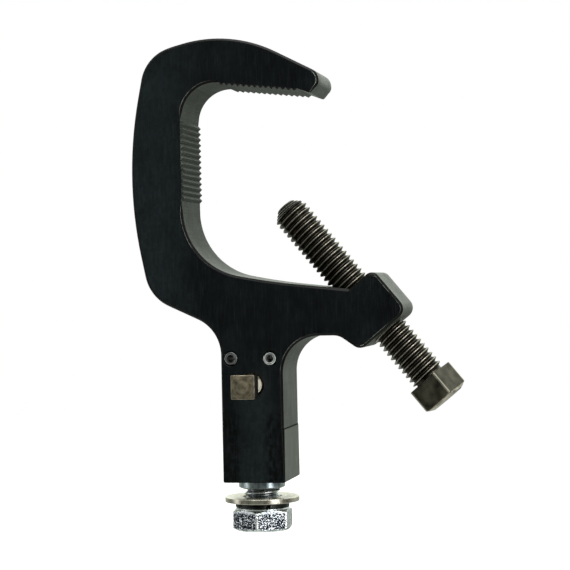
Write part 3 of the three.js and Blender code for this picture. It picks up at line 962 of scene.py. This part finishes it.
def dress(thing, material, body, slot, *nodes, sharp=32):
    """Finishes a piece and hides the CAD parts that it stands for. It rides on a body."""
    polish(thing, sharp)
    thing.data.materials.clear()
    thing.data.materials.append(material)
    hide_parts(*nodes)
    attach(thing, body)


dress(clamp_body(), anodised_material(), "clamp", "body", "clamp_body", sharp=28)
dress(pipe_bolt(), black_oxide(), "pipe_bolt", "pipe_bolt", "pipe_bolt")
dress(swivel_spud(), bright_zinc(), "spud", "spud", "swivel_spud")
for side in PIN_XS:
    dress(retaining_pin(side), spring_steel(side), "clamp", "pins", f"retaining_pin_{side}")
dress(lock_screw(), bronzed_steel(), "lock_screw", "lock_screw", "lock_screw")
dress(fixture_bolt(), zinc(), "fixture_bolt", "fixture_bolt", "fixture_bolt")
dress(flat_washer(), aged_zinc(), "washers", "flat_washer", "flat_washer")
dress(lock_washer(), dark_spring_steel(), "washers", "lock_washer", "lock_washer")


# ---- Stage ----

def floor():
    """A pale disc that fades out towards its rim."""
    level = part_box("fixture_bolt")[0].z / MM - FLOOR_DROP
    columns, radii, solid_to, gone_at = 96, (60, 150, 400, 1200), 0.30, 1.0
    vertices = [(0, 0, level)]
    for r in radii:
        vertices += [(r * math.cos(a), r * math.sin(a), level) for a in even_angles(columns)]
    faces = [(0, 1 + i, 1 + (i + 1) % columns) for i in range(columns)]
    faces += [tuple(1 + i for i in face) for face in tube_faces(len(radii), columns)]
    ground = make("floor", vertices, faces)
    for polygon in ground.data.polygons:
        if polygon.normal.z < 0:
            polygon.flip()
    material, tree, surface = shader("pale_floor", Roughness=0.6)
    where = node(tree, "TexCoord").outputs["Object"]
    away = node(tree, "VectorMath", [where], operation="LENGTH").outputs["Value"]
    tone = noise(tree, where, 30)
    link(tree, surface, Base_Color=mixed(tree, tone, (0.92,) * 3, (0.96,) * 3),
         Alpha=spread(tree, away, solid_to, gone_at, 1.0, 0.0, smooth=True))
    ground.data.materials.append(material)
    ground.visible_glossy = False


def lamp(name, azimuth, elevation, distance, size, power):
    """A soft box that faces the clamp, in metres and watts. Azimuth 0 is the front and 90 the right."""
    data = bpy.data.lights.new(name, "AREA")
    data.shape, data.size, data.size_y, data.energy = "RECTANGLE", *size, power
    a, e = math.radians(azimuth), math.radians(elevation)
    away = Vector((math.sin(a) * math.cos(e), -math.cos(a) * math.cos(e), math.sin(e)))
    thing = bpy.data.objects.new(name, data)
    thing.location = CAMERA_TARGET * MM + away * distance
    thing.rotation_euler = away.to_track_quat("Z", "Y").to_euler()
    thing.visible_camera = False
    bpy.context.scene.collection.objects.link(thing)


def surroundings():
    """Soft light from behind, above and below, in front of plain white."""
    world = bpy.data.worlds.new("studio")
    world.use_nodes = True
    bpy.context.scene.world = world
    tree = world.node_tree
    _, y, z = node(tree, "SeparateXYZ", [node(tree, "TexCoord").outputs["Generated"]]).outputs
    behind = times(tree, spread(tree, y, 0.1, 0.75, 0.20, 0.80, smooth=True),
                   spread(tree, z, -0.3, 0.25, 0.3, 1.45), spread(tree, z, -0.05, 0.2, 1.0, 1.35))
    above = spread(tree, z, 0.35, 0.9, 0.0, 0.5, smooth=True)
    below = spread(tree, z, -0.35, -0.75, 0.0, 0.9, smooth=True)
    strength = maths(tree, "ADD", behind, maths(tree, "ADD", above, below))
    glow = node(tree, "Background", [(0.94, 1.0, 0.91, 1), strength])
    plain = node(tree, "Background", [(1, 1, 1, 1), 1.0])
    seen = node(tree, "LightPath").outputs["Is Camera Ray"]
    both = node(tree, "MixShader", [seen, glow.outputs[0], plain.outputs[0]])
    tree.links.new(both.outputs[0], tree.nodes["World Output"].inputs["Surface"])


def camera():
    right = Vector((math.cos(CAMERA_TURN), math.sin(CAMERA_TURN), 0))
    ahead = Vector((-math.sin(CAMERA_TURN), math.cos(CAMERA_TURN), 0))
    up = Vector((0, 0, 1))
    side = right * math.cos(CAMERA_ROLL) - up * math.sin(CAMERA_ROLL)
    top = right * math.sin(CAMERA_ROLL) + up * math.cos(CAMERA_ROLL)
    data = bpy.data.cameras.new("camera")
    data.sensor_width = 36
    data.lens = data.sensor_width * FOCAL_PIXELS / IMAGE_PIXELS
    thing = bpy.data.objects.new("camera", data)
    turn = Matrix((side, top, -ahead)).transposed().to_4x4()
    thing.matrix_world = Matrix.Translation((CAMERA_TARGET - ahead * CAMERA_DISTANCE) * MM) @ turn
    bpy.context.scene.collection.objects.link(thing)
    bpy.context.scene.camera = thing


camera()
surroundings()
floor()
lamp("key", 52, 12, 0.9, (0.35, 0.9), 5)
lamp("overhead", 20, 78, 0.9, (0.8, 0.8), 7)
lamp("left", -73, 6, 1.0, (0.25, 0.9), 1.6)
bpy.context.scene.view_settings.view_transform = "Standard"
